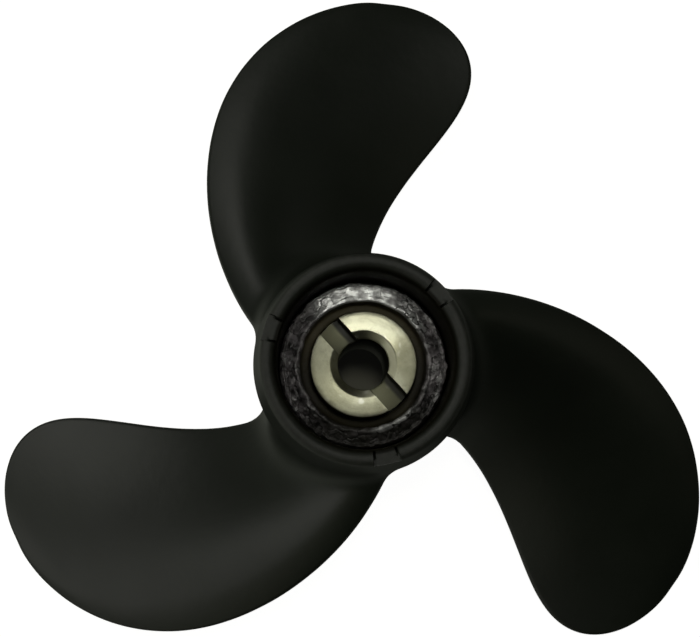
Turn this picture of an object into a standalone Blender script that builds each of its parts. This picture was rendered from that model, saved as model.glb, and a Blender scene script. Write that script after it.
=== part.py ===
"""Three-blade pin-drive outboard propeller: one casting, a rubber bush and a brass drive sleeve.

The axis is vertical. +Z is the forward end, the one that the drive pin enters.
All the dimensions below are in millimetres, and heights are counted from the plane of the
hub's forward rim, so that they are negative. RIM_HEIGHT puts the centroid at the origin.
"""

import bpy
import bmesh
from math import cos, sin, pi, radians, degrees, sqrt
from mathutils import Vector

MM = 0.001

# Driving dimensions -------------------------------------------------------------------
RIM_HEIGHT = 38.54           # height of the forward rim above the origin

TIP_RADIUS = 95.25           # half of the 190.5 mm diameter
BLADES = 3
PITCH = 140.0                # advance in one turn
TIP_PITCH_LOSS = 0.7         # share of the pitch that is lost towards the tip
ROOT_RADIUS = 26.4           # radius at which the blade laws start
BLADE_PHASE = 48.0           # turns the blades so that the pin slot lies along X

# blade laws in u = (r - ROOT_RADIUS) / (TIP_RADIUS - ROOT_RADIUS)
SKEW_DEG = (124.0, -58.8, 22.6, -2.2)       # angle of the mid-chord line
HALF_CHORD = (17.6, 24.4, 12.5, -22.0)      # half of the projected chord
TIP_ROUNDING = 7.0                          # higher is blunter
RAKE = (-35.8, -33.8, 9.6)                  # height of the mid-chord line

ROOT_THICKNESS = 7.8
TIP_THICKNESS = 2.2
EDGE_THICKNESS = 1.5
THINNING = 1.35              # how soon the thickness falls towards the tip
SHOULDER = 0.20              # share of the chord that the leading edge's slope takes
SHOULDER_SOFTNESS = 0.30
CAMBER_SHARE = (0.062, 0.012)    # camber over chord, at the root and at the tip
CAMBER_LEAN = 0.55           # pushes the highest part of the camber towards the leading edge
ROOT_FILLET = 2.0            # thickness that each face gains where it meets the hub
ROOT_FILLET_REACH = 5.5      # and the distance over which it fades out
EDGE_FILLET = (1.2, 2.8)     # the same for the leading and the trailing edge
EDGE_FILLET_REACH = 6.5

HUB_LENGTH = 66.0
HUB_OUTER = (                # radius, height: forward lip to aft end
    (23.1, 0.0), (23.7, -0.5), (24.1, -2.0), (24.8, -7.0), (25.4, -13.0), (25.7, -20.0),
    (25.7, -28.0), (25.4, -36.0), (24.8, -44.0), (23.6, -52.0), (22.0, -59.0), (20.6, -65.2), (20.0, -66.0),
)
LIP_INNER_RADIUS = 21.2
HUB_BORE_RADIUS = 20.0       # seat of the bush
HUB_BORE_END = -52.0         # shoulder behind the bush
AFT_BORE_RADIUS = 14.5
NOTCH_WIDTH = 6.0            # shallow notches across the forward lip
NOTCH_DEPTH = 1.3
NOTCH_ANGLE = 90.0

FIT_GAP = 0.3                # between pieces that touch

SLEEVE_RADIUS = 12.35
SLEEVE_BORE = 5.95
SLEEVE_FRONT = -18.0
SLEEVE_AFT = -56.0
SLEEVE_CHAMFER = 2.15        # at the mouth of the bore
SLOT_WIDTH = 5.8
SLOT_DEPTH = 6.5

BUSH_GROOVE_RADIUS = 14.6    # open groove round the sleeve
BUSH_GROOVE_FLOOR = -26.0
BUSH_BEAD = (15.4, -20.3)
BUSH_EDGE = (18.5, -21.7)    # where the shallow cone of the front face ends
BUSH_OUTER_FRONT = -24.8

# resolution
SPAN_STATIONS = 22
CHORD_STATIONS = 18
HUB_SEGMENTS = 72
SMALL_SEGMENTS = 64


# helpers --------------------------------------------------------------------------------
def clear_scene():
    for ob in list(bpy.data.objects):
        bpy.data.objects.remove(ob, do_unlink=True)


def material(name, colour, roughness, metallic):
    mat = bpy.data.materials.new(name)
    mat.use_nodes = True
    bsdf = mat.node_tree.nodes["Principled BSDF"]
    bsdf.inputs["Base Color"].default_value = (*colour, 1.0)
    bsdf.inputs["Roughness"].default_value = roughness
    bsdf.inputs["Metallic"].default_value = metallic
    return mat


def new_object(name, bm, mat, angle=30.0):
    bmesh.ops.recalc_face_normals(bm, faces=bm.faces)
    mesh = bpy.data.meshes.new(name)
    bm.to_mesh(mesh)
    bm.free()
    mesh.materials.append(mat)
    mesh.shade_smooth()
    mesh.set_sharp_from_angle(angle=radians(angle))
    ob = bpy.data.objects.new(name, mesh)
    bpy.context.scene.collection.objects.link(ob)
    return ob


def point(radius, angle_deg, height):
    a = radians(angle_deg)
    return Vector((radius * cos(a), radius * sin(a), height + RIM_HEIGHT)) * MM


def turned_ring(profile, segments, phase=0.0):
    """Turns a closed profile of (radius, height) points about Z, for a piece with a hole through it."""
    bm = bmesh.new()
    rings = []
    for k in range(segments):
        a = phase + 360.0 * k / segments
        rings.append([bm.verts.new(point(r, a, z)) for r, z in profile])
    n = len(profile)
    for k in range(segments):
        here, there = rings[k], rings[(k + 1) % segments]
        for i in range(n):
            j = (i + 1) % n
            bm.faces.new((here[i], here[j], there[j], there[i]))
    return bm


def box_cutter(name, size, centre, angle_deg=0.0):
    """A guide box in millimetres, turned about Z, that a Boolean takes away."""
    bm = bmesh.new()
    bmesh.ops.create_cube(bm, size=1.0)
    bmesh.ops.scale(bm, vec=Vector(size) * MM, verts=bm.verts)
    mesh = bpy.data.meshes.new(name)
    bm.to_mesh(mesh)
    bm.free()
    ob = bpy.data.objects.new(name, mesh)
    radius, height = centre
    ob.location = point(radius, angle_deg, height)
    ob.rotation_euler = (0.0, 0.0, radians(angle_deg))
    ob.hide_render = True
    ob.display_type = "WIRE"
    bpy.context.scene.collection.objects.link(ob)
    return ob


def boolean(target, cutter, operation):
    mod = target.modifiers.new(cutter.name, "BOOLEAN")
    mod.operation = operation
    mod.solver = "EXACT"
    mod.object = cutter


def polynomial(coefficients, u):
    return sum(c * u ** k for k, c in enumerate(coefficients))


# blade ----------------------------------------------------------------------------------
def span_position(radius):
    return (radius - ROOT_RADIUS) / (TIP_RADIUS - ROOT_RADIUS)


def hub_radius(height):
    """Outer radius of the hub at a height, for the root fillet."""
    last = HUB_OUTER[0]
    for here in HUB_OUTER[1:]:
        if here[1] <= height <= last[1]:
            t = (height - last[1]) / (here[1] - last[1])
            return last[0] + t * (here[0] - last[0])
        last = here
    return HUB_OUTER[-1][0] if height < HUB_OUTER[-1][1] else HUB_OUTER[0][0]


def fillet(radius, height, gain, reach):
    """How far the root fillet pushes the surface out at this distance from the hub."""
    d = min(max(radius - hub_radius(height), 0.0) / reach, 1.0)
    return gain * (1.0 - d) ** 2.4


def half_chord(u):
    return polynomial(HALF_CHORD, u) * sqrt(max(1.0 - max(u, 0.0) ** TIP_ROUNDING, 0.0))


def mean_surface(u, v):
    """Point of the camber surface in millimetres: u from root to tip, v from trailing -1 to leading +1 edge."""
    r = ROOT_RADIUS + (TIP_RADIUS - ROOT_RADIUS) * u
    z_mid = polynomial(RAKE, u)
    pitch = PITCH * (1.0 - TIP_PITCH_LOSS * max(u, 0.0) ** 3)
    h = half_chord(u)
    side = 1.0 if v > 0.0 else -1.0
    z_edge = z_mid + side * h / (2.0 * pi * r) * pitch
    camber = CAMBER_SHARE[0] + (CAMBER_SHARE[1] - CAMBER_SHARE[0]) * u
    camber *= 2.0 * h * (1.0 - v * v) * (1.0 + CAMBER_LEAN * v)
    gain = EDGE_FILLET[0] if v > 0.0 else EDGE_FILLET[1]
    h += fillet(r, z_edge, gain * abs(v) ** 3, EDGE_FILLET_REACH)
    wrap = degrees(h / r)
    angle = polynomial(SKEW_DEG, u) + v * wrap + BLADE_PHASE
    z = z_mid + v * wrap / 360.0 * pitch + camber
    a = radians(angle)
    return Vector((r * cos(a), r * sin(a), z))


def section(v):
    """Share of the greatest thickness: a slope up from the leading edge to a soft shoulder, then thinning aft."""
    x = min(max((1.0 - v) / 2.0, 0.0), 1.0)
    t = x / SHOULDER
    rise = 0.5 * (t + 1.0 - sqrt((t - 1.0) ** 2 + SHOULDER_SOFTNESS ** 2))
    rise -= 0.5 * (1.0 - sqrt(1.0 + SHOULDER_SOFTNESS ** 2))
    fall = min(max((x - SHOULDER) / (1.0 - SHOULDER), 0.0), 1.0)
    return rise * (1.0 - fall ** 2)


def half_thickness(u, v):
    """Aerofoil section, fuller towards the leading edge, with a round nose on both edges."""
    h = half_chord(u)
    nose = EDGE_THICKNESS / 2.0
    share = (1.0 - min(max(u, 0.0), 1.0)) ** THINNING
    top = (TIP_THICKNESS + (ROOT_THICKNESS - TIP_THICKNESS) * share) / 2.0
    body = max(top - nose, 0.0) * section(v)
    edge = min((1.0 - v * v) * h / 2.0 / nose, 1.0)
    return body + nose * sqrt(max(1.0 - (1.0 - edge) ** 2, 0.0))


def blade_mesh():
    bm = bmesh.new()
    u_in = span_position(22.6)
    u_fillet = span_position(31.0)
    stations = [u_in, span_position(24.4), span_position(25.6)]
    stations += [span_position(25.6) + (u_fillet - span_position(25.6)) * k / 5.0 for k in range(1, 6)]
    outer = SPAN_STATIONS - len(stations)
    for k in range(1, outer):
        s = k / outer
        stations.append(u_fillet + (1.0 - u_fillet) * (1.0 - (1.0 - s) ** 2))
    chord = [-cos(pi * j / CHORD_STATIONS) for j in range(CHORD_STATIONS + 1)]
    step = 1e-3
    buried = span_position(25.0)
    upper, lower = [], []
    for u in stations:
        up, low = [], []
        for v in chord:
            c = mean_surface(u, v)
            du = mean_surface(min(u + step, 1.0 - 1e-6), v) - mean_surface(u - step, v)
            dv = mean_surface(u, min(v + step, 1.0)) - mean_surface(u, max(v - step, -1.0))
            normal = dv.cross(du).normalized()
            if normal.z < 0:
                normal = -normal
            t = half_thickness(u, v)
            if 0.999 > abs(v):
                t += fillet(c.xy.length, c.z, ROOT_FILLET, ROOT_FILLET_REACH)
            at = Vector((0.0, 0.0, RIM_HEIGHT))
            if abs(v) > 0.999999:
                vert = bm.verts.new((c + at) * MM)
                up.append(vert)
                low.append(vert)
            else:
                for side, row in ((1.0, up), (-1.0, low)):
                    p = c + normal * t * side
                    if u < buried:
                        # rows inside the hub's wall stay on their own cylinder
                        r = ROOT_RADIUS + (TIP_RADIUS - ROOT_RADIUS) * u
                        p.xy *= r / p.xy.length
                    row.append(bm.verts.new((p + at) * MM))
        upper.append(up)
        lower.append(low)
    tip = bm.verts.new((mean_surface(1.0, 0.0) + Vector((0.0, 0.0, RIM_HEIGHT))) * MM)
    n = len(chord)
    for i in range(len(stations) - 1):
        for j in range(n - 1):
            bm.faces.new((upper[i][j], upper[i][j + 1], upper[i + 1][j + 1], upper[i + 1][j]))
            bm.faces.new((lower[i][j + 1], lower[i][j], lower[i + 1][j], lower[i + 1][j + 1]))
    for j in range(n - 1):
        bm.faces.new((upper[-1][j], upper[-1][j + 1], tip))
        bm.faces.new((lower[-1][j + 1], lower[-1][j], tip))
    # the root is closed on its cylinder, with a strip from the upper row to the lower one
    up, low = upper[0], lower[0]
    for j in range(n - 1):
        corners = [up[j], up[j + 1], low[j + 1], low[j]]
        bm.faces.new([v for k, v in enumerate(corners) if v not in corners[:k]])
    bmesh.ops.triangulate(bm, faces=bm.faces)
    bmesh.ops.recalc_face_normals(bm, faces=bm.faces)
    mesh = bpy.data.meshes.new("blade_shape")
    bm.to_mesh(mesh)
    bm.free()
    return mesh


def build_casting(mat):
    profile = list(HUB_OUTER)
    profile += [(AFT_BORE_RADIUS + 0.6, -HUB_LENGTH), (AFT_BORE_RADIUS, -HUB_LENGTH + 0.6)]
    profile += [(AFT_BORE_RADIUS, HUB_BORE_END), (HUB_BORE_RADIUS, HUB_BORE_END)]
    profile += [(HUB_BORE_RADIUS, -40.0), (HUB_BORE_RADIUS, -28.0), (HUB_BORE_RADIUS, -15.0), (HUB_BORE_RADIUS, -2.4)]
    profile += [(HUB_BORE_RADIUS + 0.5, -1.0), (LIP_INNER_RADIUS - 0.2, -0.1), (LIP_INNER_RADIUS + 0.1, 0.0)]
    bm = turned_ring(profile, HUB_SEGMENTS)
    hub = new_object("propeller_casting", bm, mat)
    shape = blade_mesh()
    for k in range(BLADES):
        blade = bpy.data.objects.new("blade_guide_%d" % (k + 1), shape)
        blade.rotation_euler = (0.0, 0.0, radians(360.0 * k / BLADES))
        blade.hide_render = True
        blade.display_type = "WIRE"
        bpy.context.scene.collection.objects.link(blade)
        boolean(hub, blade, "UNION")
    for k in range(BLADES):
        angle = NOTCH_ANGLE + 360.0 * k / BLADES
        cutter = box_cutter("notch_guide_%d" % (k + 1), (9.0, NOTCH_WIDTH, 2.0 * NOTCH_DEPTH), (22.6, 0.0), angle)
        boolean(hub, cutter, "DIFFERENCE")
    return hub


def build_bush(mat):
    r_in = SLEEVE_RADIUS + FIT_GAP
    r_out = HUB_BORE_RADIUS - FIT_GAP
    aft = HUB_BORE_END + FIT_GAP
    bead_r, bead_z = BUSH_BEAD
    profile = [
        (r_out, BUSH_OUTER_FRONT), (r_out, aft), (r_in, aft), (r_in, BUSH_GROOVE_FLOOR),
        (BUSH_GROOVE_RADIUS, BUSH_GROOVE_FLOOR + 0.2), (BUSH_GROOVE_RADIUS + 0.1, bead_z - 0.8),
        (bead_r - 0.3, bead_z), (bead_r + 0.6, bead_z - 0.2), BUSH_EDGE, (BUSH_EDGE[0] + 0.8, BUSH_EDGE[1] - 0.7),
    ]
    return new_object("rubber_bush", turned_ring(profile, SMALL_SEGMENTS), mat)


def build_sleeve(mat):
    front, aft = SLEEVE_FRONT, SLEEVE_AFT
    profile = [
        (SLEEVE_RADIUS - 0.4, front), (SLEEVE_RADIUS, front - 0.4), (SLEEVE_RADIUS, aft + 0.4),
        (SLEEVE_RADIUS - 0.4, aft), (SLEEVE_BORE + 0.8, aft), (SLEEVE_BORE, aft + 0.8),
        (SLEEVE_BORE, front - 1.7), (SLEEVE_BORE + SLEEVE_CHAMFER, front),
    ]
    sleeve = new_object("drive_sleeve", turned_ring(profile, SMALL_SEGMENTS, 180.0 / SMALL_SEGMENTS), mat)
    slot = box_cutter("slot_guide", (2.0 * SLEEVE_RADIUS + 4.0, SLOT_WIDTH, 2.0 * SLOT_DEPTH), (0.0, front))
    boolean(sleeve, slot, "DIFFERENCE")
    return sleeve


def main():
    clear_scene()
    paint = material("black_paint", (0.022, 0.024, 0.022), 0.42, 0.0)
    rubber = material("bush_rubber", (0.030, 0.028, 0.030), 0.45, 0.0)
    brass = material("sleeve_brass", (0.56, 0.52, 0.36), 0.38, 1.0)
    build_casting(paint)
    build_bush(rubber)
    build_sleeve(brass)


main()
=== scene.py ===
from math import sin, cos, pi, radians, degrees, sqrt, atan2, atan

import bpy
import bmesh
import numpy as np
from mathutils import Vector, Matrix, noise
from mathutils.geometry import delaunay_2d_cdt


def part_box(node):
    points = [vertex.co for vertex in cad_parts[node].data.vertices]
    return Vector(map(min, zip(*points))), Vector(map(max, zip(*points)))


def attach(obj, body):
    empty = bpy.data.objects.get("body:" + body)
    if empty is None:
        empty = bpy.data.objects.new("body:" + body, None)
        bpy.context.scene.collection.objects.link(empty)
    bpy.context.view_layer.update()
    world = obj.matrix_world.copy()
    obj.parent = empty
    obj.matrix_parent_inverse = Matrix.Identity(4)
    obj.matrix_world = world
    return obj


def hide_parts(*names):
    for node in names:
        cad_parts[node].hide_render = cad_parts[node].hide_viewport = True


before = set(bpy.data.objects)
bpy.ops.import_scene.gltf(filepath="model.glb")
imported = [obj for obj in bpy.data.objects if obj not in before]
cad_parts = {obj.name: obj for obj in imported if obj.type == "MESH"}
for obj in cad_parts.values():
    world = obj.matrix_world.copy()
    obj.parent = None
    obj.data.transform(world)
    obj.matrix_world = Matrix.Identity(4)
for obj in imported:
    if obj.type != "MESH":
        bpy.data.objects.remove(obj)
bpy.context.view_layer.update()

MM = 0.001

# ---------------------------------------------------------------------------------------
# The object's own dimensions, in millimetres. Heights count from the hub's forward rim.
# ---------------------------------------------------------------------------------------
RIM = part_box("propeller_casting")[1].z / MM
FLOOR_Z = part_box("propeller_casting")[0].z

TIP_RADIUS = 95.25
BLADES = 3
PITCH = 140.0
TIP_PITCH_LOSS = 0.7
ROOT_RADIUS = 26.4
BLADE_PHASE = 48.0
SKEW_DEG = (124.0, -58.8, 22.6, -2.2)
HALF_CHORD = (17.6, 24.4, 12.5, -22.0)
TIP_ROUNDING = 7.0
RAKE = (-35.8, -33.8, 9.6)
ROOT_THICKNESS = 7.8
TIP_THICKNESS = 2.2
EDGE_THICKNESS = 1.5
THINNING = 1.35          # how soon the thickness falls towards the tip
CAMBER_SHARE = (0.062, 0.012)   # of the chord, at the root and at the tip
CAMBER_LEAN = 0.55       # pushes the highest part of the camber towards the leading edge
SHOULDER = 0.16          # share of the chord that the leading edge's slope takes
SHOULDER_RISE = 0.62     # and share of the thickness that it gives
FILLET = (4.5, -1.5, 2.4, 3.0) # of the root: everywhere, less at the leading edge, more at the trailing one, more on the forward face

HUB_OUTER = (
    (23.1, 0.0), (23.7, -0.5), (24.1, -2.0), (24.8, -7.0), (25.4, -13.0), (25.7, -20.0),
    (25.7, -28.0), (25.4, -36.0), (24.8, -44.0), (23.6, -52.0), (22.0, -59.0), (20.6, -65.2),
)
LIP_TOP = -2.4           # where the lip's rings give way to the hub's side
AFT_EDGE = -64.6         # and the aft rings to the side
NOTCH_WIDTH = 6.0
NOTCH_DEPTH = 1.3
NOTCH_ANGLE = 90.0
KERF_DEPTH = 0.8

SLEEVE_RADIUS = 12.35
SLEEVE_BORE = 5.95
SLEEVE_FRONT = -18.0
SLEEVE_AFT = -56.0
SLEEVE_CHAMFER = 1.85
SLOT_WIDTH = 5.8
SLOT_DEPTH = 6.5


def spline(knots):
    """Smooth radius as a function of height, through (radius, height) knots."""
    z = np.array([k[1] for k in knots][::-1])
    r = np.array([k[0] for k in knots][::-1])
    m = np.gradient(r, z)

    def at(x):
        x = np.clip(np.asarray(x, float), z[0], z[-1])
        i = np.clip(np.searchsorted(z, x, side="right") - 1, 0, len(z) - 2)
        h = z[i + 1] - z[i]
        t = (x - z[i]) / h
        return ((2 * t ** 3 - 3 * t ** 2 + 1) * r[i] + (t ** 3 - 2 * t ** 2 + t) * h * m[i]
                + (-2 * t ** 3 + 3 * t ** 2) * r[i + 1] + (t ** 3 - t ** 2) * h * m[i + 1])
    return at


hub_side = spline(HUB_OUTER[2:])


# ---------------------------------------------------------------------------------------
# Blade surface
# ---------------------------------------------------------------------------------------
def poly(c, u):
    return sum(k * u ** n for n, k in enumerate(c))


def half_chord(u):
    return poly(HALF_CHORD, u) * np.sqrt(np.clip(1.0 - np.clip(u, 0.0, None) ** TIP_ROUNDING, 0.0, None))


def mean_surface(u, v):
    u, v = np.broadcast_arrays(np.asarray(u, float), np.asarray(v, float))
    r = ROOT_RADIUS + (TIP_RADIUS - ROOT_RADIUS) * u
    h = half_chord(u)
    wrap = h / r
    angle = np.radians(poly(SKEW_DEG, u) + BLADE_PHASE) + v * wrap
    pitch = PITCH * (1.0 - TIP_PITCH_LOSS * np.clip(u, 0.0, None) ** 3)
    z = poly(RAKE, u) + v * wrap / (2 * pi) * pitch
    camber = CAMBER_SHARE[0] + (CAMBER_SHARE[1] - CAMBER_SHARE[0]) * u
    z = z + camber * 2.0 * h * (1.0 - v * v) * (1.0 + CAMBER_LEAN * v)
    return np.stack([r * np.cos(angle), r * np.sin(angle), z], axis=-1)


def section(v):
    """Share of the greatest thickness: a slope up from the leading edge to a soft shoulder, then thinning towards the trailing edge."""
    x = np.clip((1.0 - v) / 2.0, 0.0, 1.0)
    t = x / SHOULDER
    soft = 0.18
    rise = 0.5 * (t + 1.0 - np.sqrt((t - 1.0) ** 2 + soft ** 2))
    rise = rise - 0.5 * (1.0 - sqrt(1.0 + soft ** 2))
    fall = np.clip((x - SHOULDER) / (1.0 - SHOULDER), 0.0, 1.0)
    bow = np.where(x < 0.42, 1.0 - (1.0 - x / 0.42) ** 2, 1.0)
    return (SHOULDER_RISE * rise + (1.0 - SHOULDER_RISE) * bow) * (1.0 - fall ** 2)


def half_thickness(u, v):
    h = half_chord(u)
    nose = EDGE_THICKNESS / 2.0
    top = (TIP_THICKNESS + (ROOT_THICKNESS - TIP_THICKNESS) * (1.0 - np.clip(u, 0.0, 1.0)) ** THINNING) / 2.0
    body = np.clip(top - nose, 0.0, None) * section(v)
    chordwise = (1.0 - v * v) * h / 2.0
    spanwise = np.clip((1.0 - u) * (TIP_RADIUS - ROOT_RADIUS), 0.0, None)
    edge = chordwise * spanwise / np.sqrt(chordwise ** 2 + spanwise ** 2 + 1e-12)
    edge = np.clip(edge / nose, 0.0, 1.0)
    tip = np.clip(spanwise / 6.0, 0.0, 1.0)
    return body * tip * (2.0 - tip) + nose * np.sqrt(np.clip(1.0 - (1.0 - edge) ** 2, 0.0, None))


def blade_surface(u, v, side):
    """Point on the forward (+1) or aft (-1) face; the two meet at v = -1 and v = +1."""
    u, v, side = np.broadcast_arrays(np.asarray(u, float), np.asarray(v, float), np.asarray(side, float))
    e = 1e-4
    u0 = np.clip(u, None, 1.0 - 2e-5)
    du = mean_surface(np.clip(u0 + e, None, 1.0 - 1e-5), v) - mean_surface(u0 - e, v)
    dv = mean_surface(u0, v + e) - mean_surface(u0, v - e)
    n = np.cross(dv, du)
    n /= np.linalg.norm(n, axis=-1, keepdims=True) + 1e-12
    n *= np.where(n[..., 2:3] < 0, -1.0, 1.0)
    return mean_surface(u, v) + n * (side * half_thickness(u, v))[..., None]


def bisect(f, low, high, rounds=48):
    """Where the rising function f of an array crosses zero, element by element."""
    low, high = low.copy(), high.copy()
    for _ in range(rounds):
        mid = 0.5 * (low + high)
        up = f(mid) > 0
        high = np.where(up, mid, high)
        low = np.where(up, low, mid)
    return 0.5 * (low + high)


CHORD_N = 44
SPAN_N = 76
FILLET_N = 8


def blade_rows():
    """Rows of points round the blade's section: the first on the hub, then the fillet, then up to the tip."""
    v = -np.cos(np.pi * np.arange(CHORD_N + 1) / CHORD_N)
    loop_v = np.concatenate([v, v[-2:0:-1]])
    loop_s = np.concatenate([np.ones(CHORD_N + 1), -np.ones(CHORD_N - 1)])

    def above_hub(u):
        p = blade_surface(u, loop_v, loop_s)
        return np.hypot(p[:, 0], p[:, 1]) - hub_side(p[:, 2])
    u_cut = bisect(above_hub, np.full(len(loop_v), -0.07), np.full(len(loop_v), 0.12))
    corner = blade_surface(u_cut, loop_v, loop_s)

    reach = FILLET[0] + np.where(loop_v > 0, FILLET[1], FILLET[2]) * loop_v ** 4 + FILLET[3] * (loop_s > 0) * (1.0 - loop_v ** 2)

    def risen(u):
        return np.linalg.norm(blade_surface(u, loop_v, loop_s) - corner, axis=-1) - reach
    u_start = bisect(risen, u_cut.copy(), u_cut + 0.3)
    start = blade_surface(u_start, loop_v, loop_s)

    # foot of the fillet: the root outline, pushed outwards on the unrolled side of the hub
    angle = np.unwrap(np.arctan2(corner[:, 1], corner[:, 0]))
    flat = np.stack([angle * ROOT_RADIUS, corner[:, 2]], axis=-1)
    ahead = np.roll(flat, -1, axis=0) - flat
    behind = flat - np.roll(flat, 1, axis=0)
    ahead /= np.linalg.norm(ahead, axis=-1, keepdims=True)
    behind /= np.linalg.norm(behind, axis=-1, keepdims=True)
    tangent = ahead + behind
    tangent /= np.linalg.norm(tangent, axis=-1, keepdims=True)
    out = np.stack([tangent[:, 1], -tangent[:, 0]], axis=-1)
    area = 0.5 * np.sum(flat[:, 0] * np.roll(flat[:, 1], -1) - np.roll(flat[:, 0], -1) * flat[:, 1])
    if area < 0:
        out = -out
    foot_flat = flat + out * reach[:, None]
    foot_angle = foot_flat[:, 0] / ROOT_RADIUS
    foot_r = hub_side(foot_flat[:, 1])
    foot = np.stack([foot_r * np.cos(foot_angle), foot_r * np.sin(foot_angle), foot_flat[:, 1]], axis=-1)
    # the control point stands in the hub's tangent plane at the foot
    lift = ((foot_flat[:, 0] - flat[:, 0]) ** 2) / (2.0 * foot_r)
    radial = np.stack([np.cos(angle), np.sin(angle), np.zeros_like(angle)], axis=-1)
    control = corner + radial * lift[:, None]

    rows = [foot]
    for k in range(1, FILLET_N):
        t = k / FILLET_N
        rows.append((1 - t) ** 2 * foot + 2 * t * (1 - t) * control + t * t * start)
    for k in range(SPAN_N):
        s = k / SPAN_N
        g = 1.0 - (1.0 - s) ** 2
        rows.append(blade_surface(u_start + (1.0 - u_start) * g, loop_v, loop_s))
    tip = mean_surface(np.array(1.0), np.array(0.0))
    return rows, tip, foot_flat


# ---------------------------------------------------------------------------------------
# Hub
# ---------------------------------------------------------------------------------------
def sector_angles():
    """Angles of one third of the hub, with the notch's edges among them."""
    centre = NOTCH_ANGLE + 120.0
    start = BLADE_PHASE + SKEW_DEG[0] - 60.0
    half = degrees(atan((NOTCH_WIDTH / 2.0) / 22.5))
    fixed = [centre + side * (half + off) for side in (-1, 1) for off in (-1.6, -1.2, -0.8, -0.5, -0.25, 0.0, 0.2, 0.7)]
    even = [start + 120.0 * k / 52 for k in range(53)]
    keep = [a for a in even if min(abs(a - f) for f in fixed) > 0.9 or a in (even[0], even[-1])]
    return sorted(keep + fixed), centre, half


def hub_side_sector(angles, hole):
    """The hub's side between two rings, with the foot of the blade left open."""
    flat = []
    top = [(radians(a) * ROOT_RADIUS, LIP_TOP) for a in angles]
    bottom = [(radians(a) * ROOT_RADIUS, AFT_EDGE) for a in angles]
    heights = np.linspace(AFT_EDGE, LIP_TOP, 50)[1:-1]
    left = [(top[0][0], z) for z in heights]
    right = [(top[-1][0], z) for z in heights]
    border = bottom + right + top[::-1] + left[::-1]
    n_border, n_hole = len(border), len(hole)
    points = [Vector(p) for p in border] + [Vector(p) for p in hole]
    edges = [(i, (i + 1) % n_border) for i in range(n_border)]
    edges += [(n_border + i, n_border + (i + 1) % n_hole) for i in range(n_hole)]
    ring = np.array(hole)
    shore = np.concatenate([ring + t * (np.roll(ring, -1, axis=0) - ring) for t in (0.0, 0.25, 0.5, 0.75)])
    frame_pts = np.array(border)
    pitch = 1.25
    rows = int((LIP_TOP - AFT_EDGE) / (pitch * 0.866))
    for j in range(1, rows):
        z = AFT_EDGE + (LIP_TOP - AFT_EDGE) * j / rows
        x = top[0][0] + (0.5 if j % 2 else 1.0) * pitch
        while x < top[-1][0] - 0.3 * pitch:
            p = np.array((x, z))
            near_hole = np.min(np.hypot(*(shore - p).T))
            near_edge = np.min(np.hypot(*(frame_pts - p).T))
            if near_hole > 0.75 and near_edge > 0.6 and not inside(ring, p):
                points.append(Vector((x, z)))
            x += pitch
    verts, _, faces, _, _, _ = delaunay_2d_cdt(points, edges, [], 0, 1e-6)
    out = []
    for f in faces:
        c = np.mean([verts[i] for i in f], axis=0)
        if not inside(ring, c):
            out.append(tuple(f))
    xs = np.array([v[:] for v in verts])
    a = xs[:, 0] / ROOT_RADIUS
    r = hub_side(xs[:, 1])
    return np.stack([r * np.cos(a), r * np.sin(a), xs[:, 1]], axis=-1), out


def inside(ring, p):
    x, y = ring[:, 0], ring[:, 1]
    x2, y2 = np.roll(x, -1), np.roll(y, -1)
    cross = (y > p[1]) != (y2 > p[1])
    at = x + (p[1] - y) / np.where(cross, y2 - y, 1.0) * (x2 - x)
    return bool(np.sum(cross & (p[0] < at)) % 2)


def hub_profile():
    """Rings from the hub's side over the lip, down the bore, through the web and round the aft end."""
    lip = [(float(hub_side(LIP_TOP)), LIP_TOP), (float(hub_side(-2.0)), -2.0), (24.02, -1.65), (23.95, -1.3), (23.84, -0.95),
           (23.66, -0.6), (23.42, -0.32), (23.1, -0.12), (22.7, -0.02), (22.3, 0.0), (21.9, -0.02), (21.55, -0.12), (21.2, -0.38),
           (20.85, -0.8), (20.5, -1.3), (20.25, -1.8), (20.1, -2.4), (20.02, -3.2)]
    bore = [(20.0 - 0.004 * k, -3.2 - 1.4 * k) for k in range(1, 20)]
    web = [(20.0, -34.0), (20.0, -42.0), (20.0, -51.2), (19.7, -51.9), (19.0, -52.0), (16.5, -52.0), (15.1, -52.0), (14.6, -52.3), (14.5, -53.0)]
    aft = [(14.5, -56.0), (14.5, -60.0), (14.5, -63.5), (14.55, -65.0), (14.75, -65.6), (15.2, -65.92), (15.8, -66.0), (17.5, -66.0),
           (19.3, -66.0), (19.85, -65.9), (20.3, -65.6), (20.6, -65.2), (float(hub_side(AFT_EDGE)), AFT_EDGE)]
    return lip + bore + web + aft


def hub_rings(angles, centre, half):
    """Profile rings over the sector. The notch cuts the lip down to a flat, and a saw's kerf ends it on either side."""
    profile = hub_profile()
    crest = max(range(len(profile)), key=lambda i: profile[i][1])
    grid = []
    for a in angles:
        off = abs(a - centre)
        t = 1.0 - min(max((off - (half - 0.25)) / 0.45, 0.0), 1.0)
        kerf = KERF_DEPTH * max(0.0, 1.0 - abs(off - (half - 0.8)) / 0.8)
        column = []
        for i, (r, z) in enumerate(profile):
            over = max(0.0, z + NOTCH_DEPTH)
            zz = z - t * over
            if over > 0.0 and i >= crest:
                zz -= kerf * min(1.0, (i - crest + 1) / 3.0)
            column.append((r * cos(radians(a)), r * sin(radians(a)), zz))
        grid.append(column)
    return grid


def turn(p, deg):
    c, s = cos(radians(deg)), sin(radians(deg))
    p = np.asarray(p, float)
    return np.stack([p[..., 0] * c - p[..., 1] * s, p[..., 0] * s + p[..., 1] * c, p[..., 2]], axis=-1)


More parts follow.
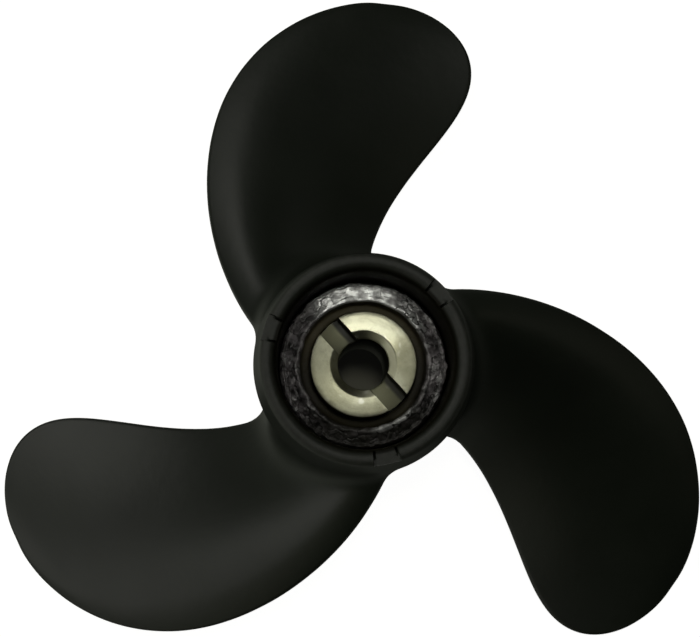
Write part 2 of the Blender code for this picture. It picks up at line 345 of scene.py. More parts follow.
def finish_mesh(name, bm, materials, angle=None):
    mesh = bpy.data.meshes.new(name)
    bm.to_mesh(mesh)
    bm.free()
    for m in materials:
        mesh.materials.append(m)
    mesh.shade_smooth()
    if angle is not None:
        mesh.set_sharp_from_angle(angle=radians(angle))
    ob = bpy.data.objects.new(name, mesh)
    bpy.context.scene.collection.objects.link(ob)
    return ob


def build_casting():
    angles, centre, half = sector_angles()
    rows, tip, foot_flat = blade_rows()
    # the foot's angles, brought into the sector of this blade
    middle = radians(BLADE_PHASE + SKEW_DEG[0])
    shift = round((middle - np.mean(foot_flat[:, 0]) / ROOT_RADIUS) / (2 * pi)) * 2 * pi * ROOT_RADIUS
    hole = [(p[0] + shift, p[1]) for p in foot_flat]
    side_v, side_f = hub_side_sector(angles, hole)
    rings = hub_rings(angles, centre, half)
    bm = bmesh.new()
    at = Vector((0.0, 0.0, RIM))
    for k in range(BLADES):
        deg = 120.0 * k
        verts = [bm.verts.new((Vector(p) + at) * MM) for p in turn(side_v, deg)]
        for f in side_f:
            bm.faces.new([verts[i] for i in f])
        grid = [[bm.verts.new((Vector(p) + at) * MM) for p in turn(col, deg)] for col in rings]
        for i in range(len(grid) - 1):
            for j in range(len(grid[0]) - 1):
                bm.faces.new((grid[i][j], grid[i][j + 1], grid[i + 1][j + 1], grid[i + 1][j]))
        loops = [[bm.verts.new((Vector(p) + at) * MM) for p in turn(row, deg)] for row in rows]
        n = len(loops[0])
        for i in range(len(loops) - 1):
            for j in range(n):
                m = (j + 1) % n
                bm.faces.new((loops[i][j], loops[i][m], loops[i + 1][m], loops[i + 1][j]))
        end = bm.verts.new((Vector(turn(tip, deg)) + at) * MM)
        for j in range(n):
            bm.faces.new((loops[-1][j], loops[-1][(j + 1) % n], end))
    bmesh.ops.remove_doubles(bm, verts=bm.verts, dist=2e-6)
    bmesh.ops.recalc_face_normals(bm, faces=bm.faces)
    open_edges = sum(1 for e in bm.edges if len(e.link_faces) != 2)
    print("casting", len(bm.verts), "verts", len(bm.faces), "faces", open_edges, "open edges", "volume", bm.calc_volume() * 1e9)
    # the slow waviness of a sand-cast, hand-dressed surface
    bm.normal_update()
    moves = []
    for v in bm.verts:
        p = v.co / MM
        h = p.z - RIM
        if h < -64.0:
            continue
        a = 0.07 * noise.noise(p * 0.055) + 0.03 * noise.noise(p * 0.16 + Vector((7.0, 3.0, 1.0)))
        moves.append((v, v.normal * a * MM))
    for v, d in moves:
        v.co += d
    return finish_mesh("cast_propeller", bm, [paint_material()], 40.0)


# ---------------------------------------------------------------------------------------
# Rubber bush
# ---------------------------------------------------------------------------------------
BUSH_GROOVE = ((12.66, -27.0), (12.8, -26.3), (13.4, -26.05), (14.1, -26.0), (14.5, -25.6), (14.66, -24.8), (14.70, -23.4),
               (14.74, -22.0), (14.84, -21.1), (15.02, -20.6), (15.26, -20.35), (15.55, -20.28), (15.85, -20.4), (16.15, -20.65))
BUSH_BACK = ((19.7, -28.5), (19.7, -34.0), (19.7, -43.0), (19.7, -51.0), (19.4, -51.7), (17.0, -51.7), (15.0, -51.7), (13.0, -51.7),
             (12.66, -51.3), (12.66, -45.0), (12.66, -36.0))
FLAT_AND_SHEEN_SIDE = 140.0        # direction in which the rubber's face is pressed flat, and towards which it gets a painted silvery sheen
BRASS_HIGHLIGHT_SIDE = 131.0       # and the one in which the sleeve's face is smoother and painted lighter, a painted highlight
BULGE_SIDE = 43.0        # and the one in which a lump of it has crept up the hub's wall
SLEEVE_SHADE_SIDE = 240.0      # and the one from which the painted shade and light on the sleeve's chamfer and bore are set


def bush_front(worn):
    """Face of the ring from its bead outwards: a shallow cone with a thin raised lip, flatter on the worn side."""
    slope = 0.62 - 0.60 * worn
    points = []
    for k in range(1, 21):
        r = 16.15 + 2.15 * k / 20.0
        points.append((r, -20.65 - slope * (r - 16.15)))
    r0, z0 = points[-1]
    for dr, dz in ((0.14, 0.02), (0.27, 0.16), (0.40, 0.34), (0.53, 0.44), (0.66, 0.44), (0.79, 0.32), (0.92, 0.06), (1.05, -0.3),
                   (1.18, -0.75), (1.29, -1.3), (1.36, -2.1), (1.40, -3.2)):
        points.append((r0 + dr, z0 + dz * (1.0 - 0.8 * worn if dz > 0 else 1.0)))
    return points


def around(angle, centre, reach):
    """1 at the centre direction, falling softly to 0 at the reach, in degrees."""
    off = abs((degrees(angle) - centre + 180.0) % 360.0 - 180.0) / reach
    return 0.0 if off >= 1.0 else (1.0 - off * off) ** 2


def crumbs(q):
    """Torn rubber: cells with tilted faces, parted by creases."""
    dist, spots = noise.voronoi(q)
    s = spots[0] * 7.31
    seed = Vector([noise.noise(s + Vector(o)) for o in ((2.0, 5.0, 9.0), (31.7, 17.3, 5.1), (11.9, 43.3, 27.7))])
    face = seed.dot(q - spots[0])
    gap = min((dist[1] - dist[0]) / 0.16, 1.0)
    return 1.3 * face, 1.0 - gap


def build_bush():
    segments = 540
    bm = bmesh.new()
    at = Vector((0.0, 0.0, RIM))
    grid = []
    for k in range(segments):
        a = 2 * pi * k / segments
        d = Vector((cos(a), sin(a), 0.0))
        worn = around(a, FLAT_AND_SHEEN_SIDE, 95.0)
        bulge = around(a, BULGE_SIDE, 17.0)
        creep = around(a, BULGE_SIDE - 1.0, 11.0)
        front = bush_front(worn)
        column = []
        for r, z in BUSH_GROOVE + tuple(front):
            if r < 16.2 and z > -20.65:
                z = -20.65 + (z + 20.65) * (1.0 - 0.9 * worn)
            p = d * r + Vector((0.0, 0.0, z))
            # the groove stays smooth, the bead is slightly rough, the face is lumpy
            bead = min(max((z + 22.6) / 1.2, 0.0), 1.0) * (1.0 if r < 16.2 else 0.0)
            face = min(max((r - 15.8) / 0.6, 0.0), 1.0)
            edge = min(max((19.66 - r) / 0.35, 0.0), 1.0)
            if bead > 0.0 or face > 0.0:
                rough = max(0.45 * bead, face) * edge
                flat = Vector((p.x, p.y, 0.45 * p.z))
                tilt, crease = crumbs(flat / 2.3)
                tilt2, crease2 = crumbs(flat / 1.1 + Vector((4.0, 1.0, 2.0)))
                big = noise.noise(flat * 0.33 + Vector((3.1, 0.7, 5.0)))
                tiny = noise.noise(flat * 5.0)
                calm = 1.0 - 0.84 * worn
                rise = calm * (0.45 * big + 0.50 * tilt - 0.22 * crease) + (1.0 - 0.88 * worn) * (0.20 * tilt2 - 0.06 * crease2) + (0.03 - 0.015 * worn) * tiny
                out = 0.45 * noise.noise(flat * 0.6 + Vector((9.0, 2.0, 1.0)))
                lean = 0.55 * (1.0 - 0.6 * worn) * bead * noise.noise(flat * 0.45 + Vector((1.0, 8.0, 3.0)))
                p += Vector((0.0, 0.0, rise * rough)) + d * (out * rough * face + lean)
                p += Vector((0.0, 0.0, 1.6 * bulge * face * min(1.0, (r - 15.8) / 2.0) * edge))
                p += Vector((0.0, 0.0, 6.0 * creep * min(max((r - 18.5) / 0.4, 0.0), 1.0) * edge))
            column.append(bm.verts.new((p + at) * MM))
        for r, z in BUSH_BACK:
            column.append(bm.verts.new((d * r + Vector((0.0, 0.0, z)) + at) * MM))
        grid.append(column)
    n = len(grid[0])
    for k in range(segments):
        here, there = grid[k], grid[(k + 1) % segments]
        for i in range(n):
            j = (i + 1) % n
            bm.faces.new((here[i], here[j], there[j], there[i]))
    bmesh.ops.recalc_face_normals(bm, faces=bm.faces)
    return finish_mesh("bush_ring", bm, [rubber_material()])


# ---------------------------------------------------------------------------------------
# Brass sleeve
# ---------------------------------------------------------------------------------------
def build_sleeve():
    segments = 160
    front, aft = SLEEVE_FRONT, SLEEVE_AFT
    profile = [
        (9.3, front - 0.03), (10.2, front - 0.085), (11.1, front - 0.155), (SLEEVE_RADIUS - 0.25, front - 0.22), (SLEEVE_RADIUS - 0.08, front - 0.27),
        (SLEEVE_RADIUS, front - 0.42), (SLEEVE_RADIUS, -30.0), (SLEEVE_RADIUS, -44.0), (SLEEVE_RADIUS, aft + 0.4),
        (SLEEVE_RADIUS - 0.4, aft), (SLEEVE_BORE + 0.8, aft), (SLEEVE_BORE, aft + 0.8), (SLEEVE_BORE, -44.0), (SLEEVE_BORE, -30.0),
        (SLEEVE_BORE, front - 1.45), (SLEEVE_BORE + 0.12, front - 1.10), (SLEEVE_BORE + 0.30, front - 1.00),
        (SLEEVE_BORE + SLEEVE_CHAMFER - 0.26, front - 0.155), (SLEEVE_BORE + SLEEVE_CHAMFER - 0.12, front - 0.08),
        (SLEEVE_BORE + SLEEVE_CHAMFER + 0.02, front - 0.01), (SLEEVE_BORE + SLEEVE_CHAMFER + 0.2, front),
    ]
    bm = bmesh.new()
    at = Vector((0.0, 0.0, RIM))
    grid = []
    for k in range(segments):
        a = 2 * pi * (k + 0.5) / segments
        grid.append([bm.verts.new((Vector((r * cos(a), r * sin(a), z)) + at) * MM) for r, z in profile])
    n = len(profile)
    for k in range(segments):
        here, there = grid[k], grid[(k + 1) % segments]
        for i in range(n):
            bm.faces.new((here[i], here[(i + 1) % n], there[(i + 1) % n], there[i]))
    bmesh.ops.recalc_face_normals(bm, faces=bm.faces)
    ob = finish_mesh("slotted_sleeve", bm, [brass_material()])
    # the pin slot, a milled channel with softly rounded floor corners
    w, d, c = SLOT_WIDTH / 2.0, SLOT_DEPTH, 0.5
    outline = [(-w, 3.0), (-w, -d + c)]
    outline += [(-w + c - c * cos(t), -d + c - c * sin(t)) for t in (pi / 8, pi / 4, 3 * pi / 8)]
    outline += [(-w + c, -d), (w - c, -d)]
    outline += [(w - c + c * sin(t), -d + c - c * cos(t)) for t in (pi / 8, pi / 4, 3 * pi / 8)]
    outline += [(w, -d + c), (w, 3.0)]
    bm = bmesh.new()
    ends = []
    for x in (-16.0, 16.0):
        ends.append([bm.verts.new((Vector((x, y, z + front)) + at) * MM) for y, z in outline])
    m = len(outline)
    for i in range(m):
        bm.faces.new((ends[0][i], ends[0][(i + 1) % m], ends[1][(i + 1) % m], ends[1][i]))
    bm.faces.new(ends[0])
    bm.faces.new(ends[1])
    bmesh.ops.recalc_face_normals(bm, faces=bm.faces)
    cutter = finish_mesh("slot_tool", bm, [])
    mod = ob.modifiers.new("slot", "BOOLEAN")
    mod.operation = "DIFFERENCE"
    mod.solver = "EXACT"
    mod.object = cutter
    bev = ob.modifiers.new("edges", "BEVEL")
    bev.width = 0.22 * MM
    bev.segments = 3
    bev.limit_method = "ANGLE"
    bev.angle_limit = radians(35.0)
    bpy.context.view_layer.update()
    deps = bpy.context.evaluated_depsgraph_get()
    mesh = bpy.data.meshes.new_from_object(ob.evaluated_get(deps))
    ob.modifiers.clear()
    old = ob.data
    ob.data = mesh
    bpy.data.meshes.remove(old)
    bpy.data.objects.remove(cutter)
    mesh.shade_smooth()
    mesh.set_sharp_from_angle(angle=radians(32.0))
    return ob


# ---------------------------------------------------------------------------------------
# Materials
# ---------------------------------------------------------------------------------------
class Nodes:
    """Small helper to wire a node tree."""

    def __init__(self, name):
        self.mat = bpy.data.materials.new(name)
        self.mat.use_nodes = True
        self.tree = self.mat.node_tree
        self.bsdf = self.tree.nodes["Principled BSDF"]
        self.coord = self.add("ShaderNodeTexCoord").outputs["Object"]

    def add(self, kind, **values):
        node = self.tree.nodes.new(kind)
        for key, value in values.items():
            setattr(node, key, value)
        return node

    def link(self, a, b):
        self.tree.links.new(a, b)

    def noise(self, scale, detail=4.0, rough=0.5, coord=None, stretch=None):
        n = self.add("ShaderNodeTexNoise")
        n.inputs["Scale"].default_value = scale
        n.inputs["Detail"].default_value = detail
        n.inputs["Roughness"].default_value = rough
        src = coord or self.coord
        if stretch:
            m = self.add("ShaderNodeMapping")
            m.inputs["Scale"].default_value = stretch
            self.link(src, m.inputs["Vector"])
            src = m.outputs["Vector"]
        self.link(src, n.inputs["Vector"])
        return n.outputs["Fac"]

    def ramp(self, fac, stops):
        r = self.add("ShaderNodeValToRGB")
        e = r.color_ramp.elements
        while len(e) > 1:
            e.remove(e[-1])
        e[0].position, e[0].color = stops[0][0], stops[0][1]
        for pos, col in stops[1:]:
            e.new(pos).color = col
        self.link(fac, r.inputs["Fac"])
        return r.outputs["Color"]

    def math(self, op, a, b=None, clamp=False):
        m = self.add("ShaderNodeMath", operation=op, use_clamp=clamp)
        for i, x in enumerate((a, b)):
            if x is None:
                continue
            if isinstance(x, (int, float)):
                m.inputs[i].default_value = x
            else:
                self.link(x, m.inputs[i])
        return m.outputs["Value"]

    def mix(self, fac, a, b, blend="MIX"):
        m = self.add("ShaderNodeMix", data_type="RGBA", blend_type=blend)
        for sock, x in ((m.inputs[0], fac), (m.inputs[6], a), (m.inputs[7], b)):
            if isinstance(x, (int, float)):
                sock.default_value = x
            elif isinstance(x, tuple):
                sock.default_value = x
            else:
                self.link(x, sock)
        return m.outputs[2]

    def bump(self, height, strength, distance, before=None):
        b = self.add("ShaderNodeBump")
        b.inputs["Strength"].default_value = strength
        b.inputs["Distance"].default_value = distance
        self.link(height, b.inputs["Height"])
        if before is not None:
            self.link(before, b.inputs["Normal"])
        return b.outputs["Normal"]


def polar(n):
    """Distance from the hub's axis, height, and the plain x and y, in metres."""
    sep = n.add("ShaderNodeSeparateXYZ")
    n.link(n.coord, sep.inputs["Vector"])
    x, y, z = sep.outputs["X"], sep.outputs["Y"], sep.outputs["Z"]
    radius = n.math("SQRT", n.math("ADD", n.math("MULTIPLY", x, x), n.math("MULTIPLY", y, y)))
    return radius, z, x, y


def band(n, value, low, high):
    """0 below low, 1 above high (or the other way round when low is the larger)."""
    m = n.add("ShaderNodeMapRange")
    m.interpolation_type = "SMOOTHSTEP"
    m.inputs["From Min"].default_value = min(low, high)
    m.inputs["From Max"].default_value = max(low, high)
    m.inputs["To Min"].default_value = 0.0 if low < high else 1.0
    m.inputs["To Max"].default_value = 1.0 if low < high else 0.0
    n.link(value, m.inputs["Value"])
    return m.outputs["Result"]


def towards(n, x, y, radius, degrees_):
    """Cosine of the angle between a point's direction from the axis and the one given."""
    a = radians(degrees_)
    dot = n.math("ADD", n.math("MULTIPLY", x, cos(a)), n.math("MULTIPLY", y, sin(a)))
    return n.math("DIVIDE", dot, n.math("MAXIMUM", radius, 0.0001))


def height(z_mm):
    """Height in the object's frame, in metres, of a height counted from the forward rim."""
    return (RIM + z_mm) * MM


def paint_material():
    """Satin black paint over a sand casting; browner, rougher and nearly without gloss inside the hub, rubbed on the
    lip.
    """
    n = Nodes("satin_black_paint")
    n.bsdf.inputs["Metallic"].default_value = 0.0
    n.bsdf.inputs["IOR"].default_value = 1.5
    radius, z, x, y = polar(n)
    cloud = n.noise(34.0, 3.0, 0.5)
    blotch = n.noise(110.0, 4.0, 0.55)
    speck = n.noise(1900.0, 2.0, 0.5)
    colour = n.ramp(cloud, [(0.3, (0.0029, 0.0050, 0.0020, 1.0)), (0.7, (0.0048, 0.0078, 0.0035, 1.0))])
    # fine pale dust caught in the paint
    dust = n.ramp(speck, [(0.66, (0.0, 0.0, 0.0, 1.0)), (0.78, (1.0, 1.0, 1.0, 1.0))])
    colour = n.mix(n.math("MULTIPLY", dust, 0.22), colour, (0.030, 0.031, 0.028, 1.0))
    # the lip is rubbed
    lip = n.math("MULTIPLY", band(n, radius, 0.0203, 0.0213), band(n, radius, 0.0243, 0.0234))
    lip = n.math("MULTIPLY", lip, band(n, z, height(-2.4), height(-1.2)))
    scuff = n.ramp(n.noise(620.0, 4.0, 0.6), [(0.35, (0.25, 0.25, 0.25, 1.0)), (0.68, (1.0, 1.0, 1.0, 1.0))])
    colour = n.mix(n.math("MULTIPLY", lip, n.math("MULTIPLY", scuff, 0.8)), colour, (0.020, 0.021, 0.017, 1.0))
    # grime on the wall inside
    # inside the hub the paint is browner, rougher and nearly without gloss
    inner = n.math("MULTIPLY", band(n, radius, 0.0216, 0.0209), band(n, z, height(-0.3), height(-1.6)))
    inner = n.math("MULTIPLY", inner, band(n, z, height(-56.0), height(-54.0)))
    inner = n.math("MAXIMUM", inner, band(n, radius, 0.0152, 0.0149))
    colour = n.mix(n.math("MULTIPLY", inner, 0.85), colour, (0.0052, 0.0042, 0.0024, 1.0))
    n.link(colour, n.bsdf.inputs["Base Color"])
    rough = n.math("ADD", n.math("MULTIPLY", cloud, 0.08), 0.365)
    rough = n.math("ADD", rough, n.math("MULTIPLY", blotch, 0.05))
    rough = n.math("ADD", rough, n.math("MULTIPLY", n.math("MAXIMUM", inner, lip), 0.145))
    n.link(rough, n.bsdf.inputs["Roughness"])
    n.link(n.math("SUBTRACT", 0.5, n.math("MULTIPLY", inner, 0.47)), n.bsdf.inputs["Specular IOR Level"])
    b = n.bump(n.noise(480.0, 2.0), 0.09, 0.0004)
    b = n.bump(n.noise(2400.0, 2.0), 0.06, 0.0001, b)
    n.link(b, n.bsdf.inputs["Normal"])
    return n.mat


def rubber_material():
    """Black rubber, grey in patches and torn on its face, with a painted silvery sheen and painted highlights on the
    side facing the lamp, painted shade on the other side and in its creases, and brown grime in the groove, painted
    lighter on the lit side.
    """
    n = Nodes("worn_rubber_painted_sheen")
    n.bsdf.inputs["IOR"].default_value = 1.55
    radius, z, x, y = polar(n)
    patches = n.noise(460.0, 3.0, 0.55)
    crumbs_ = n.noise(600.0, 2.0, 0.55)
    colour = n.ramp(patches, [(0.34, (0.032, 0.029, 0.030, 1.0)), (0.50, (0.135, 0.122, 0.128, 1.0)), (0.66, (0.31, 0.285, 0.30, 1.0))])
    facing = towards(n, x, y, radius, FLAT_AND_SHEEN_SIDE + 5.0)
    side = band(n, facing, 0.74, 0.91)
    # painted shade: the side of the ring away from the lamp is painted darker and given less gloss, and the painted
    # highlights are kept off it
    low = band(n, facing, -0.35, -0.85)
    n.link(n.math("SUBTRACT", 0.8, n.math("MULTIPLY", low, 0.5)), n.bsdf.inputs["Specular IOR Level"])
    colour = n.mix(n.math("MULTIPLY", low, 0.82), colour, (0.016, 0.016, 0.011, 1.0))
    # painted sheen: on the side towards the lamp the crumbs are painted silver-white and made metallic
    bright = n.ramp(crumbs_, [(0.36, (0.0, 0.0, 0.0, 1.0)), (0.62, (1.0, 1.0, 1.0, 1.0))])
    shine = n.math("MULTIPLY", side, n.math("ADD", n.math("MULTIPLY", bright, 0.60), 0.40))
    # painted highlights: scattered silvery patches, left out on the shaded side
    painted_highlight = n.ramp(n.noise(430.0, 4.0, 0.6), [(0.52, (0.0, 0.0, 0.0, 1.0)), (0.64, (1.0, 1.0, 1.0, 1.0))])
    painted_highlight = n.math("MULTIPLY", n.math("SUBTRACT", 1.0, low), n.math("MULTIPLY", painted_highlight, 0.45))
    shine = n.math("MAXIMUM", shine, painted_highlight)
    # painted highlights on its inner edge, in two places
    edge_highlight = n.math("MULTIPLY", band(n, towards(n, x, y, radius, FLAT_AND_SHEEN_SIDE - 42.0), 0.90, 0.98), band(n, radius, 0.0174, 0.0164))
    glint = n.math("MULTIPLY", band(n, towards(n, x, y, radius, FLAT_AND_SHEEN_SIDE + 206.0), 0.92, 0.98), band(n, radius, 0.0165, 0.0158))
    edge = n.math("MAXIMUM", n.math("MULTIPLY", edge_highlight, 0.8), n.math("MULTIPLY", glint, 0.48))
    shine = n.math("MAXIMUM", shine, n.math("MULTIPLY", edge, n.math("ADD", n.math("MULTIPLY", bright, 0.5), 0.5)))
    # painted shade in creases: dark lines between the lumps, left out on the side facing the lamp
    ridge = n.math("ABSOLUTE", n.math("SUBTRACT", n.noise(300.0, 2.0, 0.5), 0.5))
    crease_shade = n.math("MULTIPLY", band(n, ridge, 0.040, 0.004), n.math("SUBTRACT", 1.0, side))
    shine = n.math("MULTIPLY", shine, n.math("SUBTRACT", 1.0, crease_shade))
    colour = n.mix(n.math("MULTIPLY", crease_shade, 0.85), colour, (0.008, 0.008, 0.006, 1.0))
    groove = n.math("MULTIPLY", band(n, radius, 0.01500, 0.01475), band(n, z, height(-20.6), height(-21.4)))
    shine = n.math("MULTIPLY", shine, n.math("SUBTRACT", 1.0, groove))
    # the painted sheen and highlights turn the colour silver-white here
    colour = n.mix(n.math("MULTIPLY", shine, 0.9), colour, (0.95, 0.96, 0.95, 1.0))
    # brown grime in the groove, painted lighter on the side facing the lamp and darker on the other
    grime_with_painted_light = n.mix(band(n, facing, -0.2, 0.7), (0.030, 0.025, 0.010, 1.0), (0.105, 0.086, 0.036, 1.0))
    colour = n.mix(n.math("MULTIPLY", groove, 0.9), colour, grime_with_painted_light)
    n.link(colour, n.bsdf.inputs["Base Color"])
    metal = n.math("MULTIPLY", shine, 0.85)
    n.link(metal, n.bsdf.inputs["Metallic"])
    rough = n.math("ADD", n.math("MULTIPLY", patches, 0.22), 0.36)
    rough = n.math("SUBTRACT", rough, n.math("MULTIPLY", shine, 0.10))
    rough = n.math("ADD", rough, n.math("MULTIPLY", groove, 0.25))
    n.link(rough, n.bsdf.inputs["Roughness"])
    b = n.bump(n.noise(1300.0, 2.0), 0.16, 0.0002)
    n.link(b, n.bsdf.inputs["Normal"])
    return n.mat


def brass_material():
    """Dull yellow-green brass with turning marks on the face; a painted highlight on one side of the face, a painted
    shadow along one wall of the slot, darker below the face in the slot, painted shade and light on the chamfer, and
    painted shade in the bore.
    """
    n = Nodes("dull_brass")
    n.bsdf.inputs["Metallic"].default_value = 1.0
    radius, z, x, y = polar(n)
    ring_at = n.add("ShaderNodeCombineXYZ")
    n.link(radius, ring_at.inputs["X"])
    n.link(z, ring_at.inputs["Y"])
    rings = n.add("ShaderNodeTexNoise")
    rings.inputs["Scale"].default_value = 4200.0
    rings.inputs["Detail"].default_value = 3.0
    n.link(ring_at.outputs["Vector"], rings.inputs["Vector"])
    tarnish = n.noise(128.0, 5.0, 0.6)
    spots = n.noise(720.0, 4.0, 0.65)
    base = n.ramp(tarnish, [(0.32, (0.38, 0.370, 0.250, 1.0)), (0.50, (0.55, 0.544, 0.395, 1.0)), (0.66, (0.74, 0.74, 0.58, 1.0))])
    # a few knocks where the metal shines
    cells = n.add("ShaderNodeTexVoronoi")
    cells.inputs["Scale"].default_value = 300.0
    n.link(n.coord, cells.inputs["Vector"])
    knocks = n.math("MULTIPLY", band(n, cells.outputs["Distance"], 0.30, 0.12), band(n, n.noise(170.0, 1.0), 0.50, 0.58))
    base = n.mix(n.math("MULTIPLY", knocks, 0.70), base, (0.95, 0.95, 0.86, 1.0))
    dirt = n.ramp(spots, [(0.56, (0.0, 0.0, 0.0, 1.0)), (0.74, (1.0, 1.0, 1.0, 1.0))])
    base = n.mix(n.math("MULTIPLY", dirt, 0.40), base, (0.24, 0.22, 0.14, 1.0))
    # painted highlight: the face is painted lighter on the side towards the lamp
    facing = towards(n, x, y, radius, BRASS_HIGHLIGHT_SIDE)
    base = n.mix(n.math("MULTIPLY", band(n, facing, 0.55, 0.90), 0.24), base, (0.86, 0.86, 0.69, 1.0))
    # below the face, in the slot, the brass is painted darker and made rougher
    low = n.math("MULTIPLY", band(n, z, height(-19.9), height(-21.5)), band(n, radius, 0.0059, 0.0063))
    base = n.mix(n.math("MULTIPLY", low, 0.90), base, (0.115, 0.115, 0.075, 1.0))
    # a painted shadow along one wall of the slot, and painted shade on one side of the chamfer
    across = n.math("MULTIPLY", band(n, y, 0.0008, 0.0016), band(n, y, 0.0032, 0.0030))
    slot_wall_shadow = n.math("MULTIPLY", across, n.math("MULTIPLY", band(n, z, height(-18.5), height(-19.2)), band(n, z, height(-24.9), height(-24.6))))
    base = n.mix(n.math("MULTIPLY", slot_wall_shadow, 0.92), base, (0.020, 0.019, 0.011, 1.0))
    rim = n.math("MULTIPLY", band(n, radius, 0.00800, 0.00780), band(n, z, height(-18.02), height(-18.2)))
    rim = n.math("MULTIPLY", rim, band(n, z, height(-20.2), height(-19.5)))
    # the chamfer: painted shade on one side, a painted highlight on the opposite side
    toward_chamfer_shade = towards(n, x, y, radius, SLEEVE_SHADE_SIDE)
    base = n.mix(n.math("MULTIPLY", rim, n.math("MULTIPLY", band(n, toward_chamfer_shade, -0.1, 0.6), 0.50)), base, (0.10, 0.095, 0.055, 1.0))
    painted_highlight = n.math("MULTIPLY", rim, band(n, towards(n, x, y, radius, SLEEVE_SHADE_SIDE + 175.0), 0.35, 0.85))
    base = n.mix(n.math("MULTIPLY", painted_highlight, 0.9), base, (0.86, 0.85, 0.64, 1.0))
    # painted shade in the bore, darkest on one wall
    bore = n.math("MULTIPLY", band(n, radius, 0.00640, 0.00600), band(n, z, height(-19.2), height(-20.2)))
    bore = n.math("MAXIMUM", bore, n.math("MULTIPLY", band(n, radius, 0.0074, 0.0069), band(n, z, height(-52.0), height(-53.0))))
    bore_shade = n.mix(band(n, towards(n, x, y, radius, SLEEVE_SHADE_SIDE + 35.0), 0.25, -0.35), (0.17, 0.175, 0.11, 1.0), (0.035, 0.034, 0.022, 1.0))
    base = n.mix(bore, base, bore_shade)
    n.link(base, n.bsdf.inputs["Base Color"])
    n.link(n.math("SUBTRACT", 1.0, slot_wall_shadow), n.bsdf.inputs["Metallic"])
    dull = n.math("SUBTRACT", band(n, facing, 0.80, 0.25), n.math("MULTIPLY", band(n, facing, -0.15, -0.80), 0.70))
    rough = n.math("ADD", n.math("MULTIPLY", tarnish, 0.16), 0.265)
    rough = n.math("ADD", rough, n.math("MULTIPLY", dull, 0.19))
    rough = n.math("ADD", rough, n.math("MULTIPLY", low, 0.10))
    rough = n.math("ADD", rough, n.math("MULTIPLY", bore, 0.35))
    n.link(rough, n.bsdf.inputs["Roughness"])
    b = n.bump(rings.outputs["Fac"], 0.40, 0.00005)
    b = n.bump(n.noise(330.0, 4.0), 0.22, 0.0004, b)
    n.link(b, n.bsdf.inputs["Normal"])
    return n.mat


# ---------------------------------------------------------------------------------------
# Camera, light, floor
# ---------------------------------------------------------------------------------------
VIEW_TILT_X = -4.629
VIEW_TILT_Y = 1.288
VIEW_SHIFT = (3.560, -9.138)
VIEW_DISTANCE = 450.0
VIEW_SCALE = 4.4740          # pixels of the 700-pixel frame for a millimetre at the rim


WORLD_LEFT = 0.50
WORLD_RIGHT = 0.09
WORLD_ABOVE = 0.01


def view_frame():
    """Turns object axes into the camera's, before the view's own roll."""
    return Matrix.Rotation(radians(VIEW_TILT_X), 3, "X") @ Matrix.Rotation(radians(VIEW_TILT_Y), 3, "Y")


def from_view(vector):
    """A direction given as (right, up, towards the camera) in the picture, in the object's frame."""
    roll = Matrix.Rotation(radians(BLADE_PHASE), 3, "Z")
    return roll @ (view_frame().transposed() @ Vector(vector))


def add_camera():
    data = bpy.data.cameras.new("view")
    ob = bpy.data.objects.new("view", data)
    bpy.context.scene.collection.objects.link(ob)
    roll = Matrix.Rotation(radians(BLADE_PHASE), 3, "Z")
    turn_back = roll @ view_frame().transposed()
    spot = turn_back @ Vector((-VIEW_SHIFT[0], -VIEW_SHIFT[1], VIEW_DISTANCE))
    spot.z += RIM
    ob.matrix_world = Matrix.Translation(spot * MM) @ turn_back.to_4x4()
    data.sensor_fit = "HORIZONTAL"
    data.sensor_width = 36.0
    data.lens = VIEW_SCALE * VIEW_DISTANCE * 36.0 / 700.0
    data.clip_start = 0.01
    data.clip_end = 20.0
    bpy.context.scene.camera = ob
    return ob


def add_light(name, azimuth, off_axis, size, radiance, colour=(1.0, 1.0, 0.92)):
    """Soft round panel a metre away, at an azimuth in the picture (0 right, 90 up) and an angle from the hub's axis."""
    a, t = radians(azimuth + BLADE_PHASE), radians(off_axis)
    d = Vector((cos(a) * sin(t), sin(a) * sin(t), cos(t)))
    data = bpy.data.lights.new(name, "AREA")
    data.shape = "DISK"
    data.size = size
    data.energy = radiance * pi * pi * size * size / 4.0
    data.color = colour
    ob = bpy.data.objects.new(name, data)
    ob.location = d
    ob.rotation_euler = d.to_track_quat("Z", "Y").to_euler()
    bpy.context.scene.collection.objects.link(ob)
    return ob


